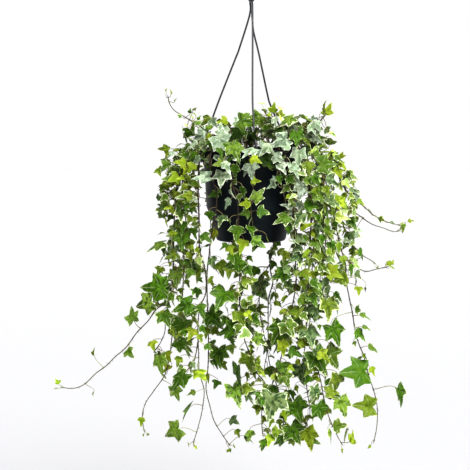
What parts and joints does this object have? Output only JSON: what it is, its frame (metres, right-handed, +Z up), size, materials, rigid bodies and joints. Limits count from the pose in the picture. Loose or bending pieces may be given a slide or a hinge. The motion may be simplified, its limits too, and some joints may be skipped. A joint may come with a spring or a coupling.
{
  "type": "hanging potted ivy",
  "caption": "Variegated ivy with small lobed leaves trailing from a dark plastic hanging pot on strands and a hook.",
  "frame": {"origin": "bearing point of the hook, at the inside top of its bend, on the axis of the pot", "axes": "+Z up, along the axis of the pot and against gravity; -Y towards the viewer of the picture; +X to the viewer's right"},
  "size_m": [0.5391, 0.2519, 0.7325],
  "materials": {
    "pot_plastic": "satin",
    "hanger_plastic": "satin",
    "soil": "rough",
    "ivy": "satin"
  },
  "bodies": {
    "root": {"back_centre": "ivy", "back_far_left": "ivy", "back_far_right": "ivy", "back_left": "ivy", "back_right": "ivy", "curtain_front": "ivy", "curtain_left": "ivy", "curtain_middle": "ivy", "curtain_outer": "ivy", "curtain_right": "ivy", "edge_right": "ivy", "hook": "hanger_plastic", "mound_back": "ivy", "mound_centre": "ivy", "mound_front": "ivy", "mound_left": "ivy", "mound_right": "ivy", "mound_top": "ivy", "pot": "pot_plastic", "shoot_left": "ivy", "shoot_right": "ivy", "soil": "soil", "strand_front": "hanger_plastic", "strand_left": "hanger_plastic", "strand_right": "hanger_plastic", "tip_right": "ivy", "trail_centre": "ivy", "trail_centre_back": "ivy", "trail_far_left": "ivy", "trail_far_right": "ivy", "trail_left_front": "ivy", "trail_left_inner": "ivy", "trail_left_long": "ivy", "trail_right_back": "ivy", "trail_right_front": "ivy", "trail_right_inner": "ivy"}
  },
  "joints": []
}
